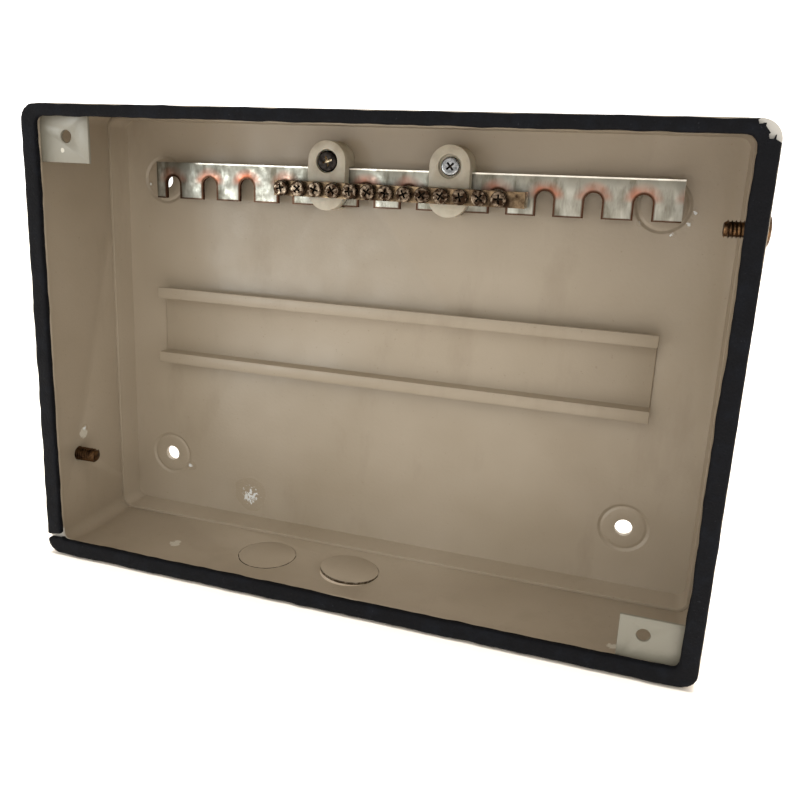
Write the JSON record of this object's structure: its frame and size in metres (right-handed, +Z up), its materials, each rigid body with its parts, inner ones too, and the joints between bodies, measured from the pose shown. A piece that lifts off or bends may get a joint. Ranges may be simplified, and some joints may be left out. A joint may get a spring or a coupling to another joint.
{
  "type": "breaker panel box",
  "caption": "Open-fronted steel back box with a foam-sealed rim, top-hat rail, loose copper comb, terminal bar on two supports, earth screws and knock-outs.",
  "frame": {"origin": "centre of the four wall holes, on the plane of the pressed feet that meet the wall", "axes": "+Z up, +X to the right seen from the front, the open front faces -Y"},
  "size_m": [0.2712, 0.0662, 0.185],
  "materials": {
    "powder_coat": "semi-gloss, orange peel",
    "foam_gasket": "matt, open skin",
    "tinned_copper": "satin, heat stained",
    "brass_bar": "dull",
    "nickel_screws": "worn plate",
    "ivory_plastic": "satin",
    "black_screw": "black oxide",
    "zinc_screw": "bright zinc",
    "yellow_zinc": "yellow zinc"
  },
  "bodies": {
    "box": {"wall_wrap": "powder_coat", "back_panel": "powder_coat", "din_rail": "powder_coat", "gasket_top": "foam_gasket", "gasket_bottom": "foam_gasket", "gasket_left": "foam_gasket", "gasket_right": "foam_gasket", "cover_lug_top_left": "powder_coat", "cover_lug_bottom_right": "powder_coat", "neutral_bar": "brass_bar", "bar_support_left": "ivory_plastic", "bar_support_right": "ivory_plastic", "support_screw_left": "black_screw", "support_screw_right": "zinc_screw", "knockout_bottom_left": "powder_coat", "knockout_top_left": "powder_coat", "knockout_top_right": "powder_coat"},
    "comb": {"comb_busbar": "tinned_copper"},
    "terminal_01": {"terminal_screw_01": "nickel_screws"},
    "terminal_02": {"terminal_screw_02": "nickel_screws"},
    "terminal_03": {"terminal_screw_03": "nickel_screws"},
    "terminal_04": {"terminal_screw_04": "nickel_screws"},
    "terminal_05": {"terminal_screw_05": "nickel_screws"},
    "terminal_06": {"terminal_screw_06": "nickel_screws"},
    "terminal_07": {"terminal_screw_07": "nickel_screws"},
    "terminal_08": {"terminal_screw_08": "nickel_screws"},
    "terminal_09": {"terminal_screw_09": "nickel_screws"},
    "terminal_10": {"terminal_screw_10": "nickel_screws"},
    "terminal_11": {"terminal_screw_11": "nickel_screws"},
    "terminal_12": {"terminal_screw_12": "nickel_screws"},
    "terminal_13": {"terminal_screw_13": "nickel_screws"},
    "earth_right": {"earth_screw_right": "yellow_zinc"},
    "earth_left": {"earth_screw_left": "yellow_zinc"},
    "struck_disc": {"knockout_bottom_right": "powder_coat"}
  },
  "joints": [
    {"name": "comb_slide", "type": "slide", "parent": "box", "child": "comb", "axis": [1, 0, 0.0087], "range_m": [-0.018, 0.018]},
    {"name": "terminal_01_travel", "type": "slide", "parent": "box", "child": "terminal_01", "axis": [0, -1, 0], "range_m": [0, 0.0032]},
    {"name": "terminal_02_travel", "type": "slide", "parent": "box", "child": "terminal_02", "axis": [0, -1, 0], "range_m": [0, 0.0032]},
    {"name": "terminal_03_travel", "type": "slide", "parent": "box", "child": "terminal_03", "axis": [0, -1, 0], "range_m": [0, 0.0032]},
    {"name": "terminal_04_travel", "type": "slide", "parent": "box", "child": "terminal_04", "axis": [0, -1, 0], "range_m": [0, 0.0032]},
    {"name": "terminal_05_travel", "type": "slide", "parent": "box", "child": "terminal_05", "axis": [0, -1, 0], "range_m": [0, 0.0032]},
    {"name": "terminal_06_travel", "type": "slide", "parent": "box", "child": "terminal_06", "axis": [0, -1, 0], "range_m": [0, 0.0032]},
    {"name": "terminal_07_travel", "type": "slide", "parent": "box", "child": "terminal_07", "axis": [0, -1, 0], "range_m": [0, 0.0032]},
    {"name": "terminal_08_travel", "type": "slide", "parent": "box", "child": "terminal_08", "axis": [0, -1, 0], "range_m": [0, 0.0032]},
    {"name": "terminal_09_travel", "type": "slide", "parent": "box", "child": "terminal_09", "axis": [0, -1, 0], "range_m": [0, 0.0032]},
    {"name": "terminal_10_travel", "type": "slide", "parent": "box", "child": "terminal_10", "axis": [0, -1, 0], "range_m": [0, 0.0032]},
    {"name": "terminal_11_travel", "type": "slide", "parent": "box", "child": "terminal_11", "axis": [0, -1, 0], "range_m": [0, 0.0032]},
    {"name": "terminal_12_travel", "type": "slide", "parent": "box", "child": "terminal_12", "axis": [0, -1, 0], "range_m": [0, 0.0032]},
    {"name": "terminal_13_travel", "type": "slide", "parent": "box", "child": "terminal_13", "axis": [0, -1, 0], "range_m": [0, 0.0032]},
    {"name": "earth_right_travel", "type": "slide", "parent": "box", "child": "earth_right", "axis": [1, 0, 0], "range_m": [0, 0.006]},
    {"name": "earth_left_travel", "type": "slide", "parent": "box", "child": "earth_left", "axis": [-1, 0, 0], "range_m": [0, 0.006]},
    {"name": "struck_disc_fold", "type": "hinge", "parent": "box", "child": "struck_disc", "pos_m": [0.00838, -0.02587, -0.0913], "axis": [-0.6428, 0.766, 0], "range_deg": [-5.3, 70]}
  ]
}
